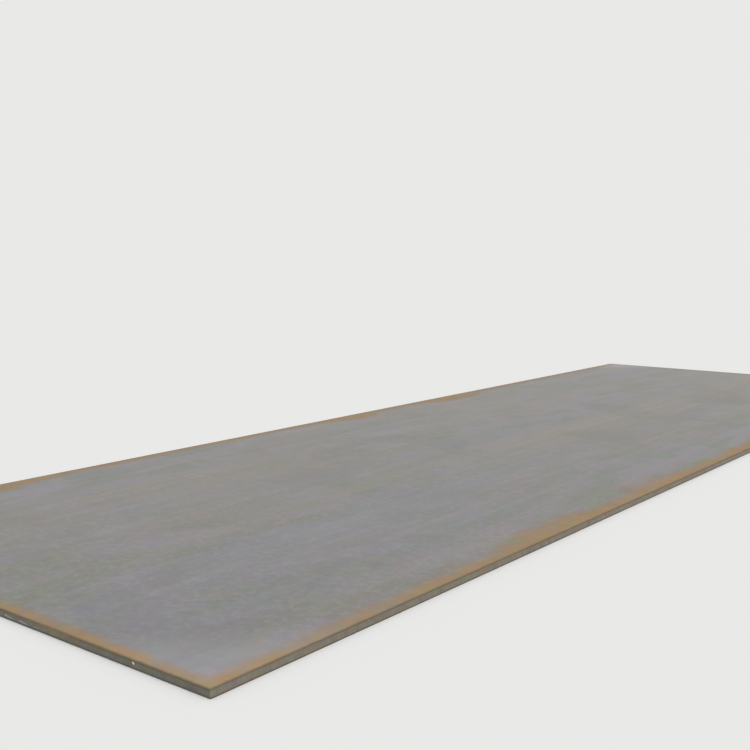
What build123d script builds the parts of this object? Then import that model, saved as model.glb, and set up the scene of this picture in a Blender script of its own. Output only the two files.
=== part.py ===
from build123d import *
import math
import os

# A hot-rolled steel plate, sheared on all four edges, in millimetres.
# X runs along the length, Y across the width and Z up; the origin is the centre of the underside.

# Size of the plate
plate_length = 6000.0
plate_width = 2000.0
plate_thickness = 20.0
corner_radius = 3.0
corner_set_out = 0.15

# Cut ends: the blade draws the top arris down and shears a smooth band, then the steel tears inwards
end_rollover_drop = 2.4
end_rollover_reach = 3.0
end_tear_height = 7.0
end_tear_reach = 1.8
end_burr_land = 1.2

# Trimmed sides: the same form, cut cleaner
side_rollover_drop = 1.4
side_rollover_reach = 1.8
side_tear_height = 5.5
side_tear_reach = 0.8
side_burr_land = 1.0

# Blade bites over the middle of each end: a leaning facet at each step of the blade, above the tear
bite_span = 1000.0
bite_pitch = 62.0
bite_length = 50.0
bite_rise_at_middle = 9.5
bite_rise_at_last = 5.5
bite_lean = 11.0

# Seams up each side, one where each stroke of the trimming blade meets the next
stroke_length = 1200.0
seam_width = 3.0
seam_depth = 1.1


def sheared_profile(reach, rollover_reach, rollover_drop, tear_height, tear_reach, burr_land):
    """The right half of a sheared section: from the middle out to the cut edge, with the underside at 0.

    The smooth band stands at `reach`, so that the size over the edges is the plate's own."""
    smooth_top = plate_thickness - rollover_drop
    crest = reach - rollover_reach
    foot = reach - tear_reach
    with BuildLine() as outline:
        Line((0, 0), (0, plate_thickness))
        Line((0, plate_thickness), (crest, plate_thickness))
        EllipticalCenterArc((crest, smooth_top), rollover_reach, rollover_drop, start_angle=0, arc_size=90)
        Line((reach, smooth_top), (reach, tear_height))
        Line((reach, tear_height), (foot, burr_land))
        Line((foot, burr_land), (foot, 0))
        Line((foot, 0), (0, 0))
    return outline.line


def profile_slab(line, across, depth):
    """A slab with the given half section on both its edges, which lie out along the direction `across`."""
    up = Vector(0, 0, 1)
    run = Vector(across).cross(up)
    half = extrude(Plane(origin=(0, 0, 0), x_dir=across, z_dir=run) * make_face(line), depth / 2, both=True)
    return half + mirror(half, about=Plane(origin=(0, 0, 0), z_dir=across))


def plate_blank():
    """The plate before its blade marks: the end section and the side section share one solid."""
    end_line = sheared_profile(
        plate_length / 2,
        end_rollover_reach,
        end_rollover_drop,
        end_tear_height,
        end_tear_reach,
        end_burr_land,
    )
    side_line = sheared_profile(
        plate_width / 2,
        side_rollover_reach,
        side_rollover_drop,
        side_tear_height,
        side_tear_reach,
        side_burr_land,
    )
    overrun = plate_thickness / 2
    between_ends = profile_slab(end_line, (1, 0, 0), plate_width + 2 * overrun)
    between_sides = profile_slab(side_line, (0, 1, 0), plate_length + 2 * overrun)
    # The rounding's own outline stands just outside the edges, so that it meets them at a slight angle
    rounding = RectangleRounded(
        plate_length + 2 * corner_set_out,
        plate_width + 2 * corner_set_out,
        corner_radius,
    )
    outline = Pos(0, 0, -overrun) * extrude(rounding, plate_thickness + 2 * overrun)
    return between_ends & between_sides & outline


def bite_rise(y):
    """How tall a bite is at a place across the width: a raised cosine that peaks at mid-width."""
    share = (1 + math.cos(2 * math.pi * y / bite_span)) / 2
    return bite_rise_at_last + (bite_rise_at_middle - bite_rise_at_last) * share


def blade_bites():
    """The facets that the shear leaves at both ends, one for each step of the blade.

    Each is a long triangle on the top of the tear, and it leans in from there to its upper edge."""
    count = int(bite_span // bite_pitch)
    first = -(count - 1) / 2 * bite_pitch
    triangles = Sketch()
    for step in range(count):
        y = first + step * bite_pitch
        tip = (y - bite_length / 2, end_tear_height)
        heel = (y + bite_length / 2, end_tear_height)
        crown = (y + bite_length / 2, end_tear_height + bite_rise(y))
        triangles += Polygon(tip, heel, crown, align=None)
    reach = plate_length / 2
    lean = bite_rise_at_middle * math.tan(math.radians(bite_lean))
    top = end_tear_height + bite_rise_at_middle
    wedge = Polygon(
        (reach, end_tear_height),
        (reach + lean, end_tear_height),
        (reach + lean, top),
        (reach - lean, top),
        align=None,
    )
    leaning = extrude(Plane.XZ * wedge, bite_span / 2, both=True)
    through = extrude(Plane.YZ.offset(reach - lean) * triangles, 2 * lean)
    bites = leaning & through
    return bites + mirror(bites, about=Plane.YZ)


def stroke_seams():
    """The grooves that the trimming blade leaves up each side, one between strokes."""
    count = int(plate_length // stroke_length)
    first = -(count - 1) / 2 * stroke_length
    mouth = seam_width / 2
    groove = Polygon(
        (-mouth, -seam_depth),
        (mouth, -seam_depth),
        (mouth, 0),
        (0, seam_depth),
        (-mouth, 0),
        align=None,
    )
    overrun = plate_thickness / 2
    cutter = Pos(0, 0, -overrun) * extrude(groove, plate_thickness + 2 * overrun)
    seams = []
    for stroke in range(count):
        x = first + stroke * stroke_length
        seams.append(Pos(x, -plate_width / 2, 0) * cutter)
        seams.append(Pos(x, plate_width / 2, 0) * Rotation(0, 0, 180) * cutter)
    return seams


plate = plate_blank() - blade_bites() - stroke_seams()
plate.label = "steel_plate"

os.makedirs("parts", exist_ok=True)
export_step(plate, "parts/steel_plate.step")
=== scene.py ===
import logging
import math
from dataclasses import dataclass, fields
from enum import Enum
from typing import Dict, List, Optional, Sequence, Tuple, Union

import bmesh
import bpy
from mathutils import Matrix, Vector


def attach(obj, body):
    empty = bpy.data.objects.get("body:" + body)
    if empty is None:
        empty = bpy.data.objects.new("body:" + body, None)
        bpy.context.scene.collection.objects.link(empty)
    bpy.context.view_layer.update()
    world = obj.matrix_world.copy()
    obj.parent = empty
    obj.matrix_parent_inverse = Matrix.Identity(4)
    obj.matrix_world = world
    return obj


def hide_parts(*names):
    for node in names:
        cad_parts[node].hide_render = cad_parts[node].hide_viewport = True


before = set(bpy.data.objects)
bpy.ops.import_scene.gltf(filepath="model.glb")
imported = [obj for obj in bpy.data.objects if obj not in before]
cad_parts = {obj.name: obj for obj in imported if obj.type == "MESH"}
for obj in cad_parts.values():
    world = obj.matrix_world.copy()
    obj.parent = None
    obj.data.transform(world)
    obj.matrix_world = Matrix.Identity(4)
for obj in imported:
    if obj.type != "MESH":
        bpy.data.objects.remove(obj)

# A hot-rolled steel plate lying flat, with sheared ends, trimmed sides and a rust rim on its faces.
# X runs along the length, Y across the width and Z up; the origin is the centre of the underside.

LOG = logging.getLogger("steel_plate")
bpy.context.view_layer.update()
MM = 0.001
Point = Tuple[float, float, float]
Value = Union[str, float, int, bool, Sequence[float], bpy.types.ID, List[str]]

BUMP = "ShaderNodeBump"
COMBINE = "ShaderNodeCombineXYZ"
MAPPING = "ShaderNodeMapping"
MATH = "ShaderNodeMath"
MIX = "ShaderNodeMix"
NOISE = "ShaderNodeTexNoise"
RANGE = "ShaderNodeMapRange"
SEPARATE = "ShaderNodeSeparateXYZ"
VECTOR_MATH = "ShaderNodeVectorMath"
ATTRIBUTE = "GeometryNodeInputNamedAttribute"
STORE = "GeometryNodeStoreNamedAttribute"
SET_MATERIAL = "GeometryNodeSetMaterial"
SET_POSITION = "GeometryNodeSetPosition"
TO_CURVE = "GeometryNodeMeshToCurve"
JOIN = "GeometryNodeJoinGeometry"


def linear(colour: str) -> Tuple[float, float, float, float]:
    """Turns an sRGB hex colour to linear light.

    Args:
        colour: Six hex digits with a leading #.

    Returns:
        Red, green, blue and an alpha of 1.
    """
    shares = [int(colour[start:start + 2], 16) / 255 for start in (1, 3, 5)]
    return tuple([s / 12.92 if s <= 0.04045 else ((s + 0.055) / 1.055) ** 2.4 for s in shares] + [1.0])


def placed(name: str, data: bpy.types.ID) -> bpy.types.Object:
    """Puts a mesh, light or camera into the scene.

    Args:
        name: What the object is called.
        data: What it shows.

    Returns:
        The new object.
    """
    thing = bpy.data.objects.new(name, data)
    bpy.context.scene.collection.objects.link(thing)
    return thing


class NodeSheet:
    """A node tree being laid out, whose nodes are known by plain names."""

    def __init__(self, tree: bpy.types.NodeTree) -> None:
        """Starts an empty sheet.

        Args:
            tree: The tree that the nodes go into.
        """
        self.tree = tree
        self.tree.nodes.clear()
        self.known: Dict[str, bpy.types.Node] = {}

    def socket(self, name: str) -> bpy.types.NodeSocket:
        """Finds the output that a name stands for.

        Args:
            name: A node's name, or "node:Output" for one of several outputs.

        Returns:
            That output, or the node's first open one.
        """
        node_name, _, output = name.partition(":")
        outputs = [socket for socket in self.known[node_name].outputs if socket.enabled]
        return next(socket for socket in outputs if not output or socket.name == output)

    def add(
        self,
        name: str,
        kind: str,
        inputs: Union[Sequence[Optional[Value]], Dict[str, Value]] = (),
        **settings: Value,
    ) -> bpy.types.Node:
        """Adds a node with its settings and links.

        Args:
            name: What later nodes call it.
            kind: Blender's type of the node, or in capitals the operation of a Math node.
            inputs: Values, hex colours or names of nodes, by position or by socket name. A list of
                names joins them.
            settings: The node's own settings; a Mix node mixes colours unless they say otherwise.

        Returns:
            The new node.
        """
        if kind.isupper():
            kind, settings = MATH, {"operation": kind, **settings}
        if kind == MIX:
            settings.setdefault("data_type", "RGBA")
        node = self.tree.nodes.new(kind)
        node.name = node.label = name
        for setting, value in settings.items():
            setattr(node, setting, value)
        sockets = [socket for socket in node.inputs if socket.enabled]
        pairs = inputs.items() if isinstance(inputs, dict) else enumerate(inputs)
        for key, value in pairs:
            if value is None:
                continue
            socket = sockets[key] if isinstance(key, int) else next(s for s in sockets if s.name == key)
            links = value if isinstance(value, list) else [value]
            for link in links:
                if isinstance(link, str) and link.partition(":")[0] in self.known:
                    self.tree.links.new(self.socket(link), socket)
                elif isinstance(link, str) and link.startswith("#"):
                    socket.default_value = linear(link)
                else:
                    socket.default_value = link
        self.known[name] = node
        return node

    def coat(self, name: str, under: str, colour: str, spread: Sequence[Value]) -> None:
        """Lays a colour over what is there, as far as a pattern says.

        Args:
            name: What later nodes call the result.
            under: The colour below, in hex or as a node's name.
            colour: The colour on top, in the same way.
            spread: The pattern and the range of it that goes from none to full, or to the shares given.
        """
        self.add(f"{name} share", RANGE, spread)
        self.add(name, MIX, [f"{name} share", under, colour])

    def surface(self, look: Dict[str, Value]) -> None:
        """Ends a material with its shader and the output.

        Args:
            look: What goes into the Principled shader, by its sockets' names.
        """
        self.add("shader", "ShaderNodeBsdfPrincipled", look)
        self.add("output", "ShaderNodeOutputMaterial", {"Surface": "shader"})


def ramp(node: bpy.types.Node, stops: Sequence[Tuple[float, str]]) -> None:
    """Sets a colour ramp's stops.

    Args:
        node: The Color Ramp node.
        stops: Place from 0 to 1 and hex colour of each stop, in order.
    """
    elements = node.color_ramp.elements
    while len(elements) < len(stops):
        elements.new(1.0)
    for element, (place, colour) in zip(elements, stops):
        element.position = place
        element.color = linear(colour)


@dataclass(frozen=True)
class ShearCut:
    """The section that one kind of shear leaves on an edge, in metres."""

    rollover_drop: float
    rollover_reach: float
    tear_height: float
    tear_reach: float
    burr_land: float


@dataclass(frozen=True)
class PlateSizes:
    """The plate's own sizes, in metres, as the solid has them."""

    length: float = 6.0
    width: float = 2.0
    thickness: float = 20 * MM
    corner_radius: float = 3 * MM
    end_cut: ShearCut = ShearCut(2.4 * MM, 3.0 * MM, 7.0 * MM, 1.8 * MM, 1.2 * MM)
    side_cut: ShearCut = ShearCut(1.4 * MM, 1.8 * MM, 5.5 * MM, 0.8 * MM, 1.0 * MM)


PLATE = PlateSizes()


class Edge(Enum):
    """The two kinds of cut edge, with the hex colours of their bands from the arris down to the foot, all
    painted darker as painted shade over the cut edge.
    """

    END = ("#5c4e3c", "#6d6a5c", "#6c6d66", "#6a675d", "#4f493e")
    SIDE = ("#655a4a", "#7b786b", "#827a70", "#776a5a", "#52483b")


def lay_insets(sheet: NodeSheet) -> None:
    """Works out how far each place lies inside the plate's ends and sides.

    Args:
        sheet: A material's nodes. Later ones read "place", "axes", "across", "to_end" and "to_side".
    """
    add = sheet.add
    add("place", "ShaderNodeTexCoord")
    add("axes", SEPARATE, ["place:Object"])
    add("along", "ABSOLUTE", ["axes:X"])
    add("across", "ABSOLUTE", ["axes:Y"])
    add("to_end", "SUBTRACT", [PLATE.length / 2, "along"])
    add("to_side", "SUBTRACT", [PLATE.width / 2, "across"])


@dataclass(frozen=True)
class HotRolledScale:
    """Mill scale on hot-rolled steel: the oxide skin that the rolls leave, weathered outdoors.

    It is a dull iron oxide over the metal, so it isn't metallic. It gives a satin lilac-grey with
    soft greenish clouds and faint streaks along the rolling direction. Water creeps in at the edges,
    which rust to a matt orange-tan rim with a soft, uneven inner line.
    """

    lilac: str = "#857f83"
    green: str = "#76796e"
    warm: str = "#817b72"
    blue: str = "#7c7e83"
    dust: str = "#8c867d"
    pale: str = "#a09fa1"
    # The colour of the painted light towards the corner
    worn: str = "#a1a1a7"
    dark: str = "#666463"
    rust_tan: str = "#968366"
    rust_orange: str = "#9d7f5c"
    rust_grey: str = "#8d806d"
    # The colour of the painted light on the rust towards the corner
    rust_pale: str = "#bba17f"
    rust_dark: str = "#705f4c"
    # The colour of the painted shade along the arris, a dark brown
    arris: str = "#5c4e3c"
    rim_width: float = 38 * MM
    rim_fade: float = 48 * MM
    lobe_reach: float = 30 * MM
    fringe_reach: float = 24 * MM
    corner_sweep: float = 30 * MM
    arris_width: float = 12 * MM
    arris_fray: float = 6 * MM
    # How far from the corner the painted light reaches
    corner_wear: float = 500 * MM
    longest_creep: float = 2.4
    side_creep: float = 1.3
    creep_shift: Point = (7.1, 3.3, 0.0)
    pool_level: float = 0.56
    scale_film: float = 0.13
    rust_film: float = 0.25
    scale_roughness: float = 0.5
    rust_roughness: float = 0.88
    gloss_vary: float = 0.3
    specular: float = 0.35

    def make(self) -> bpy.types.Material:
        """Builds the material.

        Returns:
            The finished material.
        """
        material = bpy.data.materials.new("hot_rolled_mill_scale")
        material.use_nodes = True
        sheet = NodeSheet(material.node_tree)
        lay_insets(sheet)
        self.lay_scale(sheet)
        self.lay_handling(sheet)
        self.lay_rust(sheet)
        self.lay_surface(sheet)
        return material

    def lay_scale(self, sheet: NodeSheet) -> None:
        """Colours the sound scale: clouds and bands that the rolls drew out, mottling and fine grain.

        Args:
            sheet: The material's nodes.
        """
        add = sheet.add
        # Clouds about 110 mm across and 300 mm long, over changes of about 0.6 by 1.7 m
        add("drawn_out", MAPPING, {"Vector": "place:Object", "Scale": (0.37, 1.0, 1.0)})
        add("clouds", NOISE, ["drawn_out", 9.0, 4.0])
        add("broad", NOISE, ["drawn_out", 1.6, 3.0])
        sheet.coat("clouded", self.lilac, self.green, ["clouds", 0.4, 0.6])
        sheet.coat("warmed", "clouded", self.warm, ["broad", 0.42, 0.62, 0.0, 0.8])
        # Bands along the length, about 0.3 m wide, where the plate cooled unevenly between the rolls
        add("band_place", MAPPING, {"Vector": "place:Object", "Scale": (0.14, 3.4, 1.0)})
        add("bands", NOISE, ["band_place", 1.0, 3.0])
        sheet.coat("blued", "warmed", self.blue, ["bands", 0.5, 0.36, 0.0, 0.6])
        sheet.coat("dusted", "blued", self.dust, ["bands", 0.52, 0.68, 0.0, 0.6])
        # Streaks along the length, about 40 mm wide and 1.5 m long, and finer ones of about 8 mm
        add("rolling", MAPPING, {"Vector": "place:Object", "Scale": (0.7, 24.0, 1.0)})
        add("rolling_fine", MAPPING, {"Vector": "place:Object", "Scale": (1.5, 120.0, 1.0)})
        add("streaks", NOISE, ["rolling", 1.0, 3.0])
        add("fine_streaks", NOISE, ["rolling_fine", 1.0, 2.0])
        sheet.coat("streaked", "dusted", self.pale, ["streaks", 0.5, 0.75, 0.0, 0.2])
        sheet.coat("lined", "streaked", self.dark, ["fine_streaks", 0.55, 0.8, 0.0, 0.1])
        # Mottling of about 25 mm, and grain of about 3 mm, drawn coarser than it is, so that it shows
        add("mottle", NOISE, ["place:Object", 40.0, 4.0])
        sheet.coat("mottled", "lined", self.pale, ["mottle", 0.45, 0.66, 0.0, 0.32])
        add("grain", NOISE, ["place:Object", 330.0, 3.0])
        sheet.coat("grained", "mottled", self.dark, ["grain", 0.45, 0.75, 0.0, 0.5])
        # Painted light: towards the corner the scale is painted paler in patches, as if lit more brightly
        # there
        add("from_corner", "ADD", ["to_end", "to_side"])
        add("corner_part", RANGE, ["from_corner", self.corner_wear, 60 * MM])
        add("worn_part", RANGE, ["clouds", 0.35, 0.6, 0.55, 1.0])
        add("worn_share", "MULTIPLY", ["corner_part", "worn_part"])
        add("scale_colour", MIX, ["worn_share", "grained", self.worn])

    def lay_handling(self, sheet: NodeSheet) -> None:
        """Adds what storage and lifting leave: tide marks of dried water, scuffs and flaked spots.

        Args:
            sheet: The material's nodes.
        """
        add = sheet.add
        # A pool dries to a faintly darker patch, with a thin tide mark where slow noise crosses a level
        add("pools", NOISE, {"Vector": "place:Object", "Scale": 1.7, "Detail": 4.0, "Distortion": 0.3})
        sheet.coat("dried", "scale_colour", self.dark, ["pools", self.pool_level, 0.6, 0.0, 0.16])
        add("pool_edge", "SUBTRACT", ["pools", self.pool_level])
        add("pool_way", "ABSOLUTE", ["pool_edge"])
        add("tide", RANGE, ["pool_way", 0.009, 0.0, 0.0, 0.4])
        add("tide_part", RANGE, ["clouds", 0.4, 0.6, 0.2, 1.0])
        add("tide_share", "MULTIPLY", ["tide", "tide_part"])
        add("tidal", MIX, ["tide_share", "dried", self.rust_grey])
        # Scuffs, 1 to 2 mm wide and 150 to 300 mm long, in two directions
        for name, turn, across in (("scuffs", 0.5, 300.0), ("slants", -0.9, 380.0)):
            add(f"{name}_place", MAPPING, ["place:Object", None, (0.0, 0.0, turn), (4.0, across, 1.0)])
            add(name, NOISE, [f"{name}_place", 1.0, 1.0])
            add(f"{name}_share", RANGE, [name, 0.76, 0.84, 0.0, 0.55])
        add("scuffed", "MAXIMUM", ["scuffs_share", "slants_share"])
        add("scuff_part", RANGE, ["broad", 0.48, 0.6])
        add("scuff_share", "MULTIPLY", ["scuffed", "scuff_part"])
        add("handled", MIX, ["scuff_share", "tidal", self.pale])
        # Spots 2 to 12 mm across where the scale has flaked, one at most in each cell of about 45 mm
        add("cells", "ShaderNodeTexVoronoi", ["place:Object", 22.0])
        add("nearest", "MINIMUM", ["to_end", "to_side"])
        add("spot_part", RANGE, ["nearest", 350 * MM, 30 * MM, 0.0, 0.07])
        add("spot_size", RANGE, ["clouds", 0.45, 0.68, 0.0, 0.12])
        add("spot_reach", "ADD", ["spot_size", "spot_part"])
        add("spot_gap", "SUBTRACT", ["spot_reach", "cells:Distance"])
        add("spots", RANGE, ["spot_gap", 0.0, 0.05, 0.0, 0.45])

    def lay_rust(self, sheet: NodeSheet) -> None:
        """Lays the rust rim over the scale: widest in lobes, ragged on its inner line, with painted shade
        in dark brown at the arris.

        Args:
            sheet: The material's nodes.
        """
        add = sheet.add
        # Stretches of about 0.7 m where the rust has crept further in, or is thinner
        add("stretch_place", MAPPING, {"Vector": "place:Object", "Location": self.creep_shift})
        add("stretch", NOISE, ["stretch_place", 1.5, 2.0])
        add("creep", RANGE, ["stretch", 0.52, 0.7, 1.0, self.longest_creep])
        add("rust_age", RANGE, ["stretch", 0.3, 0.42, 0.65, 1.0])
        # The rim is wider on the sides, and has lobes about 140 mm long and a ragged fringe of about 17 mm
        add("side_inset", "DIVIDE", ["to_side", self.side_creep])
        add("even_inset", "SMOOTH_MIN", ["to_end", "side_inset", self.corner_sweep])
        add("inset", "DIVIDE", ["even_inset", "creep"])
        add("lobes", NOISE, ["place:Object", 7.0, 3.0])
        add("fringe", NOISE, ["place:Object", 60.0, 5.0])
        add("lobe_shift", "MULTIPLY_ADD", ["lobes", self.lobe_reach, -self.lobe_reach / 2])
        add("fringe_shift", "MULTIPLY_ADD", ["fringe", self.fringe_reach, "lobe_shift"])
        add("shifted", "ADD", ["inset", "fringe_shift"])
        add("wavering", "SUBTRACT", ["shifted", self.fringe_reach / 2])
        rim_end = self.rim_width + self.rim_fade / 2
        add("rim", RANGE, ["wavering", rim_end, rim_end - self.rim_fade], interpolation_type="SMOOTHSTEP")
        add("tones", NOISE, ["place:Object", 22.0, 5.0])
        rusts = (self.rust_grey, self.rust_tan, self.rust_orange, self.rust_tan)
        ramp(add("rust_ramp", "ShaderNodeValToRGB", ["tones"]), list(zip((0.3, 0.42, 0.6, 0.72), rusts)))
        add("speckle", NOISE, ["place:Object", 260.0, 4.0])
        sheet.coat("speckled", "rust_ramp", self.rust_dark, ["speckle", 0.52, 0.75, 0.0, 0.4])
        # Painted light: the rust is also painted paler towards the corner, as if lit more brightly there
        add("rubbed_share", "MULTIPLY", ["worn_share", 0.4])
        add("rust_colour", MIX, ["rubbed_share", "speckled", self.rust_pale])
        add("aged_rim", "MULTIPLY", ["rim", "rust_age"])
        add("rust_share", "MAXIMUM", ["aged_rim", "spots"])
        add("rusted", MIX, ["rust_share", "handled", "rust_colour"])
        # The thin oxide film tints the face pink, green and blue in patches of about 60 mm, the rust most
        add("film", NOISE, ["place:Object", 16.0, 4.0])
        add("film_share", RANGE, ["rust_share", 0.0, 1.0, self.scale_film, self.rust_film])
        add("tinted", MIX, ["film_share", "rusted", "film:Color"], blend_type="SOFT_LIGHT")
        # Painted shade: the face is painted dark brown along the arris, as the shade of the rolled-over
        # edge
        add("arris_shift", "MULTIPLY_ADD", ["fringe", self.arris_fray, "nearest"])
        arris_end = self.arris_width + self.arris_fray / 2
        sheet.coat("face_colour", "tinted", self.arris, ["arris_shift", arris_end, 4 * MM, 0.0, 0.95])

    def lay_surface(self, sheet: NodeSheet) -> None:
        """Sets the gloss and the relief and joins the shader.

        Args:
            sheet: The material's nodes.
        """
        add = sheet.add
        add("gloss", RANGE, ["rust_share", 0.0, 1.0, self.scale_roughness, self.rust_roughness])
        add("gloss_change", "MULTIPLY_ADD", ["mottle", self.gloss_vary, "gloss"])
        add("roughness", "SUBTRACT", ["gloss_change", self.gloss_vary / 2], use_clamp=True)
        add("scale_relief", BUMP, {"Strength": 0.5, "Distance": 0.3 * MM, "Height": "grain"})
        pitted = {"Strength": "rust_share", "Distance": 0.8 * MM, "Height": "speckle"}
        add("rust_relief", BUMP, {**pitted, "Normal": "scale_relief"})
        sheet.surface(
            {
                "Base Color": "face_colour",
                "Roughness": "roughness",
                "Normal": "rust_relief",
                "Metallic": 0.0,
                "Specular IOR Level": self.specular,
            }
        )


@dataclass(frozen=True)
class ShearedSteel:
    """Sheared steel gone dull: the blade's smooth band above, the torn grain below, thinly rusted.

    It is bare metal under a brown-grey film, so it is partly metallic and rough. The blade leaves fine
    upright drag lines and, on the ends, facets of pale bare steel, painted lighter as their highlight,
    with a dark crack under their lip that is painted darker as the lip's shade. The whole edge is painted
    darker as painted shade, with painted shade in dark brown at the bent-down top arris and darkest at the
    foot.
    """

    roughness: float = 0.6
    facet_roughness: float = 0.42
    metallic: float = 0.2
    rust: str = "#86704f"
    drag: str = "#55524a"
    # The colour of the facets: pale bare steel, painted lighter as their highlight
    bare: str = "#8b9493"
    # The colour of the crack under the bites' lip, painted dark as the lip's shade
    crack: str = "#2f2c28"
    fleck: str = "#e2e1dc"
    film_strength: float = 0.2
    fleck_place: Point = (-PLATE.length / 2, -755 * MM, 14.8 * MM)
    fleck_reach: Point = (4 * MM, 4.4 * MM, 2.4 * MM)
    fleck_turn: float = math.radians(35)

    def make(self) -> bpy.types.Material:
        """Builds the material.

        Returns:
            The finished material.
        """
        material = bpy.data.materials.new("sheared_steel_edge")
        material.use_nodes = True
        sheet = NodeSheet(material.node_tree)
        lay_insets(sheet)
        sheet.add("cut_key", "ShaderNodeAttribute", attribute_name="cut")
        sheet.add("cut", SEPARATE, ["cut_key:Vector"])
        sheet.add("is_end", "GREATER_THAN", ["to_side", "to_end"])
        for edge in Edge:
            self.lay_bands(sheet, edge)
        sheet.add("bands", MIX, ["is_end", "SIDE", "END"])
        self.lay_marks(sheet)
        self.lay_facets(sheet)
        self.lay_fleck(sheet)
        sheet.surface(
            {
                "Base Color": "edge_colour",
                "Roughness": "edge_roughness",
                "Normal": "tear_relief",
                "Metallic": self.metallic,
            }
        )
        return material

    @staticmethod
    def lay_bands(sheet: NodeSheet, edge: Edge) -> None:
        """Colours one kind of edge in bands from the arris down to the foot, with painted shade at the
        arris and at the foot.

        Args:
            sheet: The material's nodes; the result is known by the edge's name.
            edge: The kind of edge.
        """
        add = sheet.add
        arris, upper, lower, torn, foot_shade = edge.value
        key = edge.name
        # The bands waver over about 40 mm and, more finely, over about 6 mm
        add(f"{key} wander", NOISE, ["place:Object", 26.0, 5.0])
        add(f"{key} high", "MULTIPLY", ["axes:Z", 1 / PLATE.thickness])
        add(f"{key} shift", "MULTIPLY_ADD", [f"{key} wander", 0.5, -0.25])
        add(f"{key} level", "ADD", [f"{key} high", f"{key} shift"])
        sheet.coat(f"{key} smooth", lower, upper, [f"{key} level", 0.4, 0.8])
        sheet.coat(f"{key} torn", f"{key} smooth", torn, ["cut:Y", 0.0, 0.25])
        # Painted shade: the lowest part of the edge is painted dark, as the shade at its foot
        sheet.coat(f"{key} footed", f"{key} torn", foot_shade, [f"{key} high", 0.16, 0.05])
        # Painted shade: the rolled-over arris is painted dark brown, as its shade
        add(f"{key} turning", "ADD", ["cut:X", f"{key} shift"])
        sheet.coat(key, f"{key} footed", arris, [f"{key} turning", 1.0, 0.8])

    def lay_marks(self, sheet: NodeSheet) -> None:
        """Adds the drag lines of the blade and patches of thin rust.

        Args:
            sheet: The material's nodes.
        """
        add = sheet.add
        add("run", MIX, ["is_end", "axes:X", "axes:Y"], data_type="FLOAT")
        add("drag_place", COMBINE, ["run", "axes:Z", "is_end"])
        # Drag lines about 3 mm apart, which fade in and out along the height
        add("drag_scale", MAPPING, {"Vector": "drag_place", "Scale": (300.0, 45.0, 1.0)})
        add("drag", NOISE, ["drag_scale", 1.0, 4.0])
        sheet.coat("dragged", "bands", self.drag, ["drag", 0.44, 0.72, 0.0, 0.5])
        add("rusting", NOISE, ["place:Object", 14.0, 5.0])
        sheet.coat("rusted", "dragged", self.rust, ["rusting", 0.5, 0.68, 0.0, 0.45])
        # The oxide film tints the cut steel slate and olive in patches of about 40 mm
        add("film", NOISE, ["place:Object", 24.0, 4.0])
        add("tinted", MIX, [self.film_strength, "rusted", "film:Color"], blend_type="SOFT_LIGHT")
        add("torn", NOISE, ["place:Object", 420.0, 4.0])
        add("torn_share", "MULTIPLY", ["torn", "cut:Y"])
        add("drag_relief", BUMP, {"Strength": 0.5, "Distance": 0.3 * MM, "Height": "drag"})
        ragged = {"Strength": 0.8, "Distance": 0.7 * MM, "Height": "torn_share"}
        add("tear_relief", BUMP, {**ragged, "Normal": "drag_relief"})

    def lay_facets(self, sheet: NodeSheet) -> None:
        """Paints the facets of the bites as bare steel, lighter as painted highlight, and the crack below
        their lip dark as painted shade.

        Args:
            sheet: The material's nodes.
        """
        add = sheet.add
        # Painted highlight: the facets are painted as paler bare steel, lighter as if lit from above
        add("facet_part", RANGE, ["drag", 0.7, 0.4, 0.35, 0.9])
        add("facet", "MULTIPLY", ["cut:Z", "facet_part"])
        add("bared", MIX, ["facet", "tinted", self.bare])
        # Painted shade: just under the lip, at the top of the tear, the crack is painted dark as the lip's
        # shade
        add("crack_start", RANGE, ["cut:Y", 0.0, 0.03])
        add("crack_end", RANGE, ["cut:Y", 0.5, 0.12])
        add("crack_band", "MULTIPLY", ["crack_start", "crack_end"])
        add("crack_part", RANGE, ["rusting", 0.35, 0.65, 0.35, 0.85])
        add("crack", "MULTIPLY", ["crack_band", "crack_part"])
        # The painted crack shade is deepest over the middle of the ends, where the blade has bitten, and
        # absent from the sides
        add("crack_depth", RANGE, ["across", 0.65, 0.4, 0.3, 1.0])
        add("crack_here", "MULTIPLY", ["crack_depth", "is_end"])
        add("crack_share", "MULTIPLY", ["crack", "crack_here"])
        add("cracked", MIX, ["crack_share", "bared", self.crack])
        add("edge_roughness", RANGE, ["facet", 0.0, 1.0, self.roughness, self.facet_roughness])

    def lay_fleck(self, sheet: NodeSheet) -> None:
        """Paints one pale fleck, as of dried mortar, on an end just below its arris.

        Args:
            sheet: The material's nodes.
        """
        add = sheet.add
        shape = [self.fleck_place, (self.fleck_turn, 0.0, 0.0), self.fleck_reach]
        add("fleck_map", MAPPING, ["place:Object", *shape], vector_type="TEXTURE")
        add("fleck_way", VECTOR_MATH, ["fleck_map"], operation="LENGTH")
        add("fleck_ragged", "MULTIPLY_ADD", ["torn", 2.4, "fleck_way:Value"])
        sheet.coat("edge_colour", "cracked", self.fleck, ["fleck_ragged", 2.25, 2.0])


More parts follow.
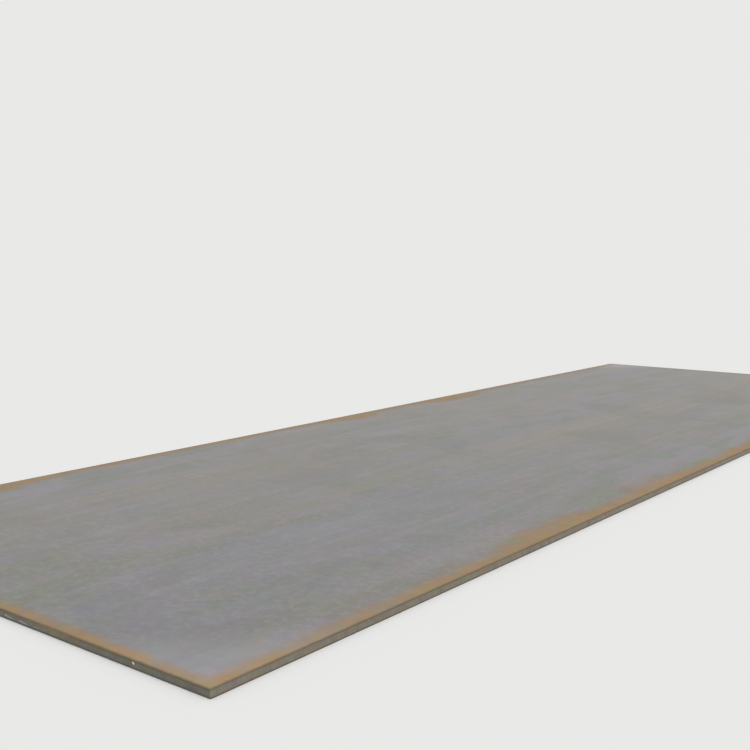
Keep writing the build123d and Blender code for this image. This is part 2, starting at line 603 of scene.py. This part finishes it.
@dataclass(frozen=True)
class BladeMarks:
    """What the blades and later knocks leave on the edges, in metres and radians.

    The bites stand over the middle of the ends and the seams up the sides, as the solid has them. A
    place within snap of a mark's edge counts as on it.
    """

    bite_span: float = 1000 * MM
    bite_pitch: float = 62 * MM
    bite_length: float = 50 * MM
    bite_rise_at_middle: float = 9.5 * MM
    bite_rise_at_last: float = 5.5 * MM
    bite_lean: float = math.radians(11)
    bite_start: float = 0.3 * MM
    bite_clearance: float = 0.6 * MM
    plain_rise: float = 3 * MM
    stroke_length: float = 1200 * MM
    seam_width: float = 3 * MM
    seam_depth: float = 1.1 * MM
    edge_waver: float = 0.5 * MM
    tear_waver: float = 3.2 * MM
    grain_depth: float = 1.3 * MM
    dent_reach: float = 1.8 * MM
    dent_drop: float = 1.3 * MM
    nick_place: float = -545 * MM
    nick_reach: float = 9 * MM
    nick_floor: float = 2 * MM
    corner_blend: float = 30 * MM
    snap: float = 0.05 * MM


@dataclass
class RolledPlate:
    """The plate: two rolled faces joined by a sheared section that runs right round.

    The steps are the rows of faces that each zone of the section gets.
    """

    sizes: PlateSizes = PLATE
    marks: BladeMarks = BladeMarks()
    end_spacing: float = 2.4 * MM
    side_spacing: float = 7.0 * MM
    heel_step: float = 0.3 * MM
    arc_steps: int = 5
    rollover_steps: int = 5
    smooth_steps: int = 4
    ledge_steps: int = 1
    facet_steps: int = 4
    tear_steps: int = 6
    land_steps: int = 1
    joined_within: float = 0.02 * MM
    crease_angle: float = math.radians(22)
    seed: int = 7

    def build(self, scale: bpy.types.Material, edge: bpy.types.Material) -> bpy.types.Object:
        """Builds the plate and puts it on the frame.

        Args:
            scale: The finish of the two faces.
            edge: The finish of the sheared section.

        Returns:
            The plate's object.
        """
        holder = placed("plate_outline", self.outline_loop())
        modifier = holder.modifiers.new("sheared_section", "NODES")
        modifier.node_group = self.section_tree()
        self.set_inputs(modifier, scale, edge)
        graph = bpy.context.evaluated_depsgraph_get()
        mesh = bpy.data.meshes.new_from_object(holder.evaluated_get(graph))
        holder.modifiers.remove(modifier)
        bpy.data.objects.remove(holder)
        plate = placed("rolled_plate", mesh)
        self.finish_mesh(mesh)
        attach(plate, "root")
        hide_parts("steel_plate")
        return plate

    def outline_loop(self) -> bpy.types.Mesh:
        """Draws the plate's outline over its smooth band as one closed loop of edges.

        Returns:
            The loop, evenly spaced apart from the corners, the bites and the seams.
        """
        radius = self.sizes.corner_radius
        reach_x = self.sizes.length / 2
        reach_y = self.sizes.width / 2
        along = self.spaced(reach_x - radius, self.side_spacing, self.seam_places())
        across = self.spaced(reach_y - radius, self.end_spacing, self.bite_places())
        points: List[Point] = []
        points += [(x, -reach_y, 0.0) for x in along]
        points += self.corner(1, -1, -90)
        points += [(reach_x, y, 0.0) for y in across]
        points += self.corner(1, 1, 0)
        points += [(x, reach_y, 0.0) for x in reversed(along)]
        points += self.corner(-1, 1, 90)
        points += [(-reach_x, y, 0.0) for y in reversed(across)]
        points += self.corner(-1, -1, 180)
        count = len(points)
        mesh = bpy.data.meshes.new("plate_outline")
        mesh.from_pydata(points, [(i, (i + 1) % count) for i in range(count)], [])
        return mesh

    @staticmethod
    def repeats(run: float, pitch: float) -> List[float]:
        """Places marks a pitch apart, as many as a run takes, centred on its middle.

        Args:
            run: The length that the marks fill.
            pitch: The distance between two marks.

        Returns:
            The marks' places in rising order.
        """
        count = int(run // pitch)
        return [(mark - (count - 1) / 2) * pitch for mark in range(count)]

    def seam_places(self) -> List[float]:
        """The stroke seams' edges and roots along a side, in metres from mid-length."""
        middles = self.repeats(self.sizes.length, self.marks.stroke_length)
        return [middle + shift * self.marks.seam_width / 2 for middle in middles for shift in (-1, 0, 1)]

    def bite_places(self) -> List[float]:
        """Finds the places along an end that the bites need.

        Returns:
            Each bite's tip and heel and a place just past the heel, in metres from mid-width.
        """
        half = self.marks.bite_length / 2
        shifts = (-half, half, half + self.heel_step)
        middles = self.repeats(self.marks.bite_span, self.marks.bite_pitch)
        return [middle + shift for middle in middles for shift in shifts]

    @staticmethod
    def spaced(reach: float, spacing: float, kept: Sequence[float]) -> List[float]:
        """Spaces places evenly along an edge.

        Args:
            reach: Half the length of the edge.
            spacing: The distance to keep between places.
            kept: Places that have to be there; even ones too near them are left out.

        Returns:
            The places in rising order.
        """
        steps = max(2, round(2 * reach / spacing))
        even = [-reach + 2 * reach * step / steps for step in range(steps + 1)]
        clear = [place for place in even if all(abs(place - other) > spacing / 3 for other in kept)]
        return sorted(clear + list(kept))

    def corner(self, side_x: int, side_y: int, start: float) -> List[Point]:
        """The points of one rounded corner between the two edges' own points.

        Args:
            side_x: 1 or -1 for the end it is at.
            side_y: 1 or -1 for the side it is at.
            start: The direction in degrees of the edge before it.

        Returns:
            The arc's inner points.
        """
        radius = self.sizes.corner_radius
        centre_x = side_x * (self.sizes.length / 2 - radius)
        centre_y = side_y * (self.sizes.width / 2 - radius)
        points = []
        for step in range(1, self.arc_steps):
            angle = math.radians(start + 90 * step / self.arc_steps)
            points.append((centre_x + radius * math.cos(angle), centre_y + radius * math.sin(angle), 0.0))
        return points

    def tree_sizes(self) -> Dict[str, float]:
        """Gathers the sizes that the section's node tree takes.

        Returns:
            Each size in metres or radians, by the name of its input.
        """
        named = {}
        plain = (("", self.sizes), ("", self.marks))
        for prefix, group in plain + (("End ", self.sizes.end_cut), ("Side ", self.sizes.side_cut)):
            for size in fields(group):
                if size.type is float:
                    named[prefix + size.name.replace("_", " ").title()] = getattr(group, size.name)
        return named

    def set_inputs(
        self, modifier: bpy.types.Modifier, scale: bpy.types.Material, edge: bpy.types.Material
    ) -> None:
        """Sets the modifier's inputs by their sockets' identifiers.

        Args:
            modifier: The Geometry Nodes modifier.
            scale: The finish of the two faces.
            edge: The finish of the sheared section.
        """
        values: Dict[str, Value] = dict(self.tree_sizes())
        values.update({"Seed": self.seed, "Face Finish": scale, "Edge Finish": edge})
        for item in modifier.node_group.interface.items_tree:
            if item.in_out == "INPUT" and item.name in values:
                modifier[item.identifier] = values[item.name]

    def section_tree(self) -> bpy.types.NodeTree:
        """Builds the tree that sweeps the sheared section round the outline and closes it with two faces.

        Returns:
            The node tree.
        """
        tree = bpy.data.node_groups.new("sheared_section", "GeometryNodeTree")
        kinds = {"Outline": "Geometry", **dict.fromkeys(self.tree_sizes(), "Float")}
        kinds.update({"Seed": "Int", "Face Finish": "Material", "Edge Finish": "Material"})
        for name, kind in kinds.items():
            tree.interface.new_socket(name, in_out="INPUT", socket_type=f"NodeSocket{kind}")
        tree.interface.new_socket("Plate", in_out="OUTPUT", socket_type="NodeSocketGeometry")
        sheet = NodeSheet(tree)
        sheet.add("in", "NodeGroupInput")
        self.lay_sweep(sheet)
        self.lay_place(sheet)
        self.lay_shares(sheet)
        self.lay_relief(sheet)
        self.lay_bites(sheet)
        self.lay_heights(sheet)
        self.lay_seams(sheet)
        self.lay_position(sheet)
        self.lay_faces(sheet)
        return tree

    def lay_sweep(self, sheet: NodeSheet) -> None:
        """Sweeps a line of section points round the outline, noting each point's outline place and share.

        Args:
            sheet: The tree's nodes.
        """
        add = sheet.add
        steps = sum(self.section_steps().values())
        add("loop", TO_CURVE, ["in:Outline"])
        add("loop_place", "GeometryNodeInputPosition")
        add("marked_loop", STORE, ["loop", True, "outline", "loop_place"], data_type="FLOAT_VECTOR")
        add("line", "GeometryNodeCurvePrimitiveLine")
        add("points", "GeometryNodeResampleCurve", {"Curve": "line", "Count": steps + 1})
        add("share", "GeometryNodeSplineParameter")
        add("marked_line", STORE, ["points", True, "section", "share:Factor"], data_type="FLOAT")
        add("band", "GeometryNodeCurveToMesh", {"Curve": "marked_loop", "Profile Curve": "marked_line"})

    def lay_place(self, sheet: NodeSheet) -> None:
        """Works out where on the outline a point stands: on an end, on a side or between them.

        Args:
            sheet: The tree's nodes.
        """
        add = sheet.add
        add("outline", ATTRIBUTE, ["outline"], data_type="FLOAT_VECTOR")
        add("section", ATTRIBUTE, ["section"], data_type="FLOAT")
        add("at", SEPARATE, ["outline:Attribute"])
        for axis, size in (("X", "Length"), ("Y", "Width")):
            add(f"out{axis}", "ABSOLUTE", [f"at:{axis}"])
            add(f"sign{axis}", "SIGN", [f"at:{axis}"])
            add(f"half{axis}", "MULTIPLY", [f"in:{size}", 0.5])
            add(f"arc{axis}", "SUBTRACT", [f"half{axis}", "in:Corner Radius"])
            add(f"blend{axis}", "SUBTRACT", [f"half{axis}", "in:Corner Blend"])
            add(f"weight{axis}", RANGE, [f"out{axis}", f"blend{axis}", f"arc{axis}"])
        add("turn", RANGE, ["outY", "arcY", "halfY"])
        add("sideways", "POWER", ["turn", 2.0])

    def section_steps(self) -> Dict[str, int]:
        """The zones of the section from the top face down, with how many steps each is swept in."""
        return {
            "rolled": self.rollover_steps,
            "smooth": self.smooth_steps,
            "ledged": self.ledge_steps,
            "faceted": self.facet_steps,
            "torn": self.tear_steps,
            "landed": self.land_steps,
        }

    def lay_shares(self, sheet: NodeSheet) -> None:
        """Works out how far down each zone of the section a point stands, and the sizes of its cut.

        Args:
            sheet: The tree's nodes.
        """
        add = sheet.add
        total = sum(self.section_steps().values())
        start = 0
        for name, steps in self.section_steps().items():
            add(name, RANGE, ["section:Attribute", start / total, (start + steps) / total])
            start += steps
        add("angle", "MULTIPLY", ["rolled", math.pi / 2])
        add("cosine", "COSINE", ["angle"])
        add("sine", "SINE", ["angle"])
        add("fall", "SUBTRACT", [1.0, "cosine"])
        add("shy", "SUBTRACT", [1.0, "sine"])
        # The tear's steps are short under the lip, where it is cracked, and long towards the foot
        add("tear", "POWER", ["torn", 1.6])
        for size in ("Rollover Drop", "Tear Height", "Burr Land"):
            add(size, MIX, ["sideways", f"in:End {size}", f"in:Side {size}"], data_type="FLOAT")
        add("smooth_top", "SUBTRACT", ["in:Thickness", "Rollover Drop"])

    def lay_relief(self, sheet: NodeSheet) -> None:
        """Adds what no two cuts share: a slow waver, a ragged tear and dents in the top arris.

        Args:
            sheet: The tree's nodes.
        """
        add = sheet.add
        # The seed slides every pattern to another part of the noise
        add("shift", "MULTIPLY", ["in:Seed", 13.7])
        add("moved", VECTOR_MATH, ["outline:Attribute", "shift"], operation="ADD")
        add("levels", COMBINE, {"Z": "section:Attribute"})
        add("lowered", VECTOR_MATH, ["levels", (0.0, 0.0, 25 * MM)], operation="MULTIPLY")
        add("in_depth", VECTOR_MATH, ["moved", "lowered"], operation="ADD")
        # The edge wavers over about 200 mm, the tear line over about 55 mm and the torn grain over about
        # 10 mm, and the dents are about 20 mm long
        add("slow", NOISE, ["moved", 5.0, 2.0])
        add("grainy", NOISE, ["in_depth", 110.0, 3.0])
        add("knocks", NOISE, ["moved", 46.0, 1.0])
        add("tear_wave", NOISE, ["moved", 18.0, 3.0])
        add("tear_half", "MULTIPLY", ["in:Tear Waver", -0.5])
        add("tear_shift", "MULTIPLY_ADD", ["tear_wave", "in:Tear Waver", "tear_half"])
        add("lip", "ADD", ["Tear Height", "tear_shift"])
        add("slow_in", RANGE, ["slow", 0.4, 0.75, 0.0, "in:Edge Waver"])
        add("torn_grain", "MULTIPLY", ["grainy", "tear"])
        add("grain_in", "MULTIPLY_ADD", ["torn_grain", "in:Grain Depth", "slow_in"])
        add("above", "SUBTRACT", [1.0, "smooth"])
        add("arris", "MULTIPLY", ["rolled", "above"])
        add("knocked", RANGE, ["knocks", 0.66, 0.8])
        add("nick_off", "SUBTRACT", ["at:Y", "in:Nick Place"])
        add("nick_way", "ABSOLUTE", ["nick_off"])
        add("nick_near", RANGE, ["nick_way", "in:Nick Reach", "in:Nick Floor"])
        add("nick", "MULTIPLY", ["nick_near", "weightX"])
        add("hit", "MAXIMUM", ["knocked", "nick"])
        add("dent", "MULTIPLY", ["hit", "arris"])
        add("dent_in", "MULTIPLY_ADD", ["dent", "in:Dent Reach", "grain_in"])

    def lay_bites(self, sheet: NodeSheet) -> None:
        """Raises the blade bites: long triangles over the tear, pointed at one end and tall at the other.

        Args:
            sheet: The tree's nodes.
        """
        add = sheet.add
        self.lay_spacing(sheet, "bite", "at:Y", "in:Bite Span", "in:Bite Pitch")
        add("bite_half", "MULTIPLY", ["in:Bite Length", 0.5])
        add("bite_edge", "ADD", ["bite_half", "in:Snap"])
        add("bite_way", "ABSOLUTE", ["bite_local"])
        add("bite_near", "LESS_THAN", ["bite_way", "bite_edge"])
        add("bite_reach", "MULTIPLY", ["in:Bite Span", 0.5])
        add("bite_off", "ABSOLUTE", ["bite_centre"])
        add("bite_in_span", "LESS_THAN", ["bite_off", "bite_reach"])
        add("bite_here", "MULTIPLY", ["bite_near", "bite_in_span"])
        add("bitten", "MULTIPLY", ["bite_here", "weightX"])
        add("bite_turn", "DIVIDE", ["bite_centre", "in:Bite Span"])
        add("bite_angle", "MULTIPLY", ["bite_turn", 2 * math.pi])
        add("bite_cosine", "COSINE", ["bite_angle"])
        add("bite_share", "MULTIPLY_ADD", ["bite_cosine", 0.5, 0.5])
        rises = ["in:Bite Rise At Last", "in:Bite Rise At Middle"]
        add("bite_plain", MIX, ["bite_share", *rises], data_type="FLOAT")
        add("bite_key", COMBINE, ["bite_centre", "signX", "in:Seed"])
        add("bite_luck", "ShaderNodeTexWhiteNoise", ["bite_key"])
        add("bite_vary", RANGE, ["bite_luck:Value", 0.0, 1.0, 1.0, 1.25])
        add("bite_wanted", "MULTIPLY", ["bite_plain", "bite_vary"])
        add("bite_room", "SUBTRACT", ["smooth_top", "lip"])
        add("bite_most", "SUBTRACT", ["bite_room", "in:Bite Clearance"])
        add("bite_full", "MINIMUM", ["bite_wanted", "bite_most"])
        add("bite_bare", RANGE, ["bite_share", 0.03, 0.25, 0.2, 1.0])
        add("bite_tip", "MULTIPLY", ["bite_half", -1.0])
        add("bite_rise", RANGE, ["bite_local", "bite_tip", "bite_half", "in:Bite Start", "bite_full"])
        # Where there is no bite, the facet's rows lie flat in the smooth band
        add("rise", MIX, ["bitten", "in:Plain Rise", "bite_rise"], data_type="FLOAT")
        add("lean", "TANGENT", ["in:Bite Lean"])
        add("lean_full", "MULTIPLY", ["rise", "lean"])
        add("to_lip", "SUBTRACT", [1.0, "faceted"])
        add("lean_share", "MULTIPLY", ["ledged", "to_lip"])
        add("lean_here", "MULTIPLY", ["lean_share", "bitten"])
        add("lean_in", "MULTIPLY", ["lean_here", "lean_full"])

    def lay_heights(self, sheet: NodeSheet) -> None:
        """Works out each point's height and how far it stands in from the outline.

        Args:
            sheet: The tree's nodes.
        """
        add = sheet.add
        add("crown", "ADD", ["lip", "rise"])
        add("smooth_fall", "SUBTRACT", ["smooth_top", "crown"])
        add("tear_fall", "SUBTRACT", ["lip", "Burr Land"])
        add("z0", "MULTIPLY", ["fall", "Rollover Drop"])
        add("z1", "MULTIPLY_ADD", ["smooth", "smooth_fall", "z0"])
        add("z2", "MULTIPLY_ADD", ["faceted", "rise", "z1"])
        add("z3", "MULTIPLY_ADD", ["tear", "tear_fall", "z2"])
        add("z4", "MULTIPLY_ADD", ["landed", "Burr Land", "z3"])
        add("level", "SUBTRACT", ["in:Thickness", "z4"])
        for edge in ("End", "Side"):
            add(f"{edge} roll", "MULTIPLY", ["shy", f"in:{edge} Rollover Reach"])
            add(f"{edge} in", "MULTIPLY_ADD", ["tear", f"in:{edge} Tear Reach", f"{edge} roll"])
        add("end_inset", "ADD", ["End in", "lean_in"])

    def lay_seams(self, sheet: NodeSheet) -> None:
        """Cuts a groove up both sides between two strokes of the trimming blade.

        Args:
            sheet: The tree's nodes.
        """
        add = sheet.add
        self.lay_spacing(sheet, "seam", "at:X", "in:Length", "in:Stroke Length")
        add("seam_off", "ABSOLUTE", ["seam_local"])
        add("seam_half", "MULTIPLY", ["in:Seam Width", 0.5])
        add("seam_mouth", "ADD", ["seam_half", "in:Snap"])
        add("in_seam", "LESS_THAN", ["seam_off", "seam_mouth"])
        add("seam_shape", RANGE, ["seam_off", 0.0, "seam_half", "in:Seam Depth", 0.0])
        add("seam_here", "MULTIPLY", ["seam_shape", "in_seam"])
        add("side_inset", "MAXIMUM", ["Side in", "seam_here"])

    @staticmethod
    def lay_spacing(sheet: NodeSheet, name: str, place: str, run: str, pitch: str) -> None:
        """Finds the nearest of the marks that stand a pitch apart, centred on the middle of a run.

        Args:
            sheet: The tree's nodes.
            name: What the marks are called.
            place: The output that gives the place along the run.
            run: The output that gives the length that the marks fill.
            pitch: The output that gives their distance.
        """
        add = sheet.add
        add(f"{name}_fit", "DIVIDE", [run, pitch])
        add(f"{name}_count", "FLOOR", [f"{name}_fit"])
        add(f"{name}_odd", "MODULO", [f"{name}_count", 2.0])
        add(f"{name}_even", "SUBTRACT", [1.0, f"{name}_odd"])
        add(f"{name}_shift", "MULTIPLY", [f"{name}_even", 0.5])
        add(f"{name}_step", "DIVIDE", [place, pitch])
        add(f"{name}_moved", "SUBTRACT", [f"{name}_step", f"{name}_shift"])
        add(f"{name}_round", "ROUND", [f"{name}_moved"])
        add(f"{name}_back", "ADD", [f"{name}_round", f"{name}_shift"])
        add(f"{name}_centre", "MULTIPLY", [f"{name}_back", pitch])
        add(f"{name}_local", "SUBTRACT", [place, f"{name}_centre"])

    def lay_position(self, sheet: NodeSheet) -> None:
        """Moves every swept point to its place on the sheared edge.

        Args:
            sheet: The tree's nodes.
        """
        add = sheet.add
        for axis, inset in (("X", "end_inset"), ("Y", "side_inset")):
            add(f"net{axis}", "ADD", [inset, "dent_in"])
            add(f"way{axis}", "MULTIPLY", [f"sign{axis}", f"weight{axis}"])
            add(f"step{axis}", "MULTIPLY", [f"net{axis}", f"way{axis}"])
            add(f"new{axis}", "SUBTRACT", [f"at:{axis}", f"step{axis}"])
        add("dent_down", "MULTIPLY", ["dent", "in:Dent Drop"])
        add("new_level", "SUBTRACT", ["level", "dent_down"])
        add("new_place", COMBINE, ["newX", "newY", "new_level"])
        add("shaped", SET_POSITION, {"Geometry": "band", "Position": "new_place"})
        # What the finish needs to know: 1 on the smooth band, how far down the tear, and how far a facet is
        # painted as bare steel with painted highlight
        add("on_facet", "MULTIPLY", ["ledged", "bitten"])
        add("off_tear", "LESS_THAN", ["torn", 0.001])
        add("facet_here", "MULTIPLY", ["on_facet", "off_tear"])
        add("facet", "MULTIPLY", ["facet_here", "bite_bare"])
        add("cut_key", COMBINE, ["rolled", "tear", "facet"])
        add("marked_band", STORE, ["shaped", True, "cut", "cut_key"], data_type="FLOAT_VECTOR")

    def lay_faces(self, sheet: NodeSheet) -> None:
        """Closes the band with the top face and the underside and hands out the finishes.

        Args:
            sheet: The tree's nodes.
        """
        add = sheet.add
        add("is_crest", "LESS_THAN", ["section:Attribute", 0.001])
        add("is_foot", "GREATER_THAN", ["section:Attribute", 0.999])
        add("up", COMBINE, {"Z": "in:Thickness"})
        for name, chosen in (("top", "is_crest"), ("under", "is_foot")):
            add(f"{name}_loop", TO_CURVE, ["marked_band", chosen])
            add(f"{name}_fill", "GeometryNodeFillCurve", [f"{name}_loop"])
        add("top_face", SET_POSITION, {"Geometry": "top_fill", "Offset": "up"})
        add("faces", JOIN, [["top_face", "under_fill"]])
        add("marked_faces", STORE, ["faces", True, "rolled_face", True], data_type="BOOLEAN", domain="FACE")
        add("parts", JOIN, [["marked_faces", "marked_band"]])
        merged = {"Geometry": "parts", "Distance": self.joined_within}
        add("closed", "GeometryNodeMergeByDistance", merged)
        add("real", "GeometryNodeRealizeInstances", ["closed"])
        add("rolled_face", ATTRIBUTE, ["rolled_face"], data_type="BOOLEAN")
        add("edge_finished", SET_MATERIAL, ["real", None, "in:Edge Finish"])
        add("face_finished", SET_MATERIAL, ["edge_finished", "rolled_face:Attribute", "in:Face Finish"])
        add("out", "NodeGroupOutput", ["face_finished"])

    def finish_mesh(self, mesh: bpy.types.Mesh) -> None:
        """Turns all faces outwards, smooths the section and keeps its real creases.

        Args:
            mesh: The plate's mesh.
        """
        shell = bmesh.new()
        shell.from_mesh(mesh)
        bmesh.ops.recalc_face_normals(shell, faces=shell.faces)
        loose = [vertex for vertex in shell.verts if not vertex.link_faces]
        bmesh.ops.delete(shell, geom=loose, context="VERTS")
        gaps = sum(1 for edge in shell.edges if not edge.is_manifold)
        volume = shell.calc_volume()
        LOG.info("plate: %d faces, %d open edges, volume %.6f", len(shell.faces), gaps, volume)
        shell.to_mesh(mesh)
        shell.free()
        for name in ("outline", "section", "rolled_face"):
            attribute = mesh.attributes.get(name)
            if attribute:
                mesh.attributes.remove(attribute)
        mesh.polygons.foreach_set("use_smooth", [True] * len(mesh.polygons))
        mesh.set_sharp_from_angle(angle=self.crease_angle)


@dataclass(frozen=True)
class Viewpoint:
    """The camera: a hand-held view down on the plate's near corner."""

    lens: float = 49.5
    sensor: float = 36.0
    clip: float = 500.0
    heading: float = math.radians(51.57)
    pitch: float = math.radians(7.07)
    corner: Point = (-PLATE.length / 2, -PLATE.width / 2, PLATE.thickness)
    corner_right: float = -0.336
    corner_down: float = 0.643
    corner_ahead: float = 2.100

    def build(self) -> bpy.types.Object:
        """Sets the camera up.

        Returns:
            The camera's object.
        """
        level = Vector((math.sin(self.heading), math.cos(self.heading), 0.0))
        right = Vector((level.y, -level.x, 0.0))
        ahead = level * math.cos(self.pitch) - Vector((0.0, 0.0, math.sin(self.pitch)))
        down = ahead.cross(right)
        offset = right * self.corner_right + down * self.corner_down + ahead * self.corner_ahead
        data = bpy.data.cameras.new("view")
        data.lens = self.lens
        data.sensor_width = self.sensor
        data.sensor_fit = "HORIZONTAL"
        data.clip_end = self.clip
        camera = placed("view", data)
        camera.location = Vector(self.corner) - offset
        camera.rotation_euler = ahead.to_track_quat("-Z", "Y").to_euler()
        bpy.context.scene.camera = camera
        return camera


@dataclass(frozen=True)
class Studio:
    """A plain pale floor under soft light, at a level where a colour renders as it is written."""

    floor_colour: str = "#e9e9e8"
    floor_reach: float = 90.0
    floor_gap: float = 0.2 * MM
    sky_light: float = 0.62
    lamp_strength: float = 1.55
    lamp_angle: float = math.radians(50)
    lamp_from: Point = (-2.0, -5.0, 6.5)

    def build(self) -> None:
        """Lays the floor and sets the light."""
        self.lay_floor()
        self.set_world()
        self.set_lamp()

    def lay_floor(self) -> None:
        """Lays a wide flat floor just under the plate."""
        turns = ((-1, -1), (1, -1), (1, 1), (-1, 1))
        corners = [(x * self.floor_reach, y * self.floor_reach, -self.floor_gap) for x, y in turns]
        mesh = bpy.data.meshes.new("floor")
        mesh.from_pydata(corners, [], [(0, 1, 2, 3)])
        floor = placed("floor", mesh)
        material = bpy.data.materials.new("pale_floor")
        material.use_nodes = True
        sheet = NodeSheet(material.node_tree)
        sheet.surface({"Base Color": self.floor_colour, "Roughness": 0.95, "Specular IOR Level": 0.0})
        mesh.materials.append(material)

    def set_world(self) -> None:
        """Gives even light from all round, behind a backdrop as pale as the lit floor."""
        world = bpy.data.worlds.new("soft_room")
        world.use_nodes = True
        bpy.context.scene.world = world
        sheet = NodeSheet(world.node_tree)
        sheet.add("ray", "ShaderNodeLightPath")
        sheet.add("seen", "MAXIMUM", ["ray:Is Camera Ray", "ray:Is Glossy Ray"])
        sheet.add("seen_through", "MAXIMUM", ["seen", "ray:Is Transmission Ray"])
        sheet.add("light", "ShaderNodeBackground", ["#ffffff", self.sky_light])
        sheet.add("backdrop", "ShaderNodeBackground", [self.floor_colour, 1.0])
        sheet.add("mixed", "ShaderNodeMixShader", ["seen_through", "light", "backdrop"])
        sheet.add("output", "ShaderNodeOutputWorld", {"Surface": "mixed"})

    def set_lamp(self) -> None:
        """Hangs one broad soft lamp, high and on the near side."""
        data = bpy.data.lights.new("broad_lamp", "SUN")
        data.energy = self.lamp_strength
        data.angle = self.lamp_angle
        lamp = placed("broad_lamp", data)
        lamp.rotation_euler = Vector(self.lamp_from).to_track_quat("Z", "Y").to_euler()


def main() -> None:
    """Builds the plate, the studio and the view, in that order."""
    logging.basicConfig(level=logging.INFO, format="%(name)s: %(message)s")
    bpy.context.scene.view_settings.view_transform = "Standard"
    scale = HotRolledScale().make()
    edge = ShearedSteel().make()
    plate = RolledPlate().build(scale, edge)
    LOG.info("%s: %d polygons", plate.name, len(plate.data.polygons))
    Studio().build()
    Viewpoint().build()


if __name__ == "__main__":
    main()
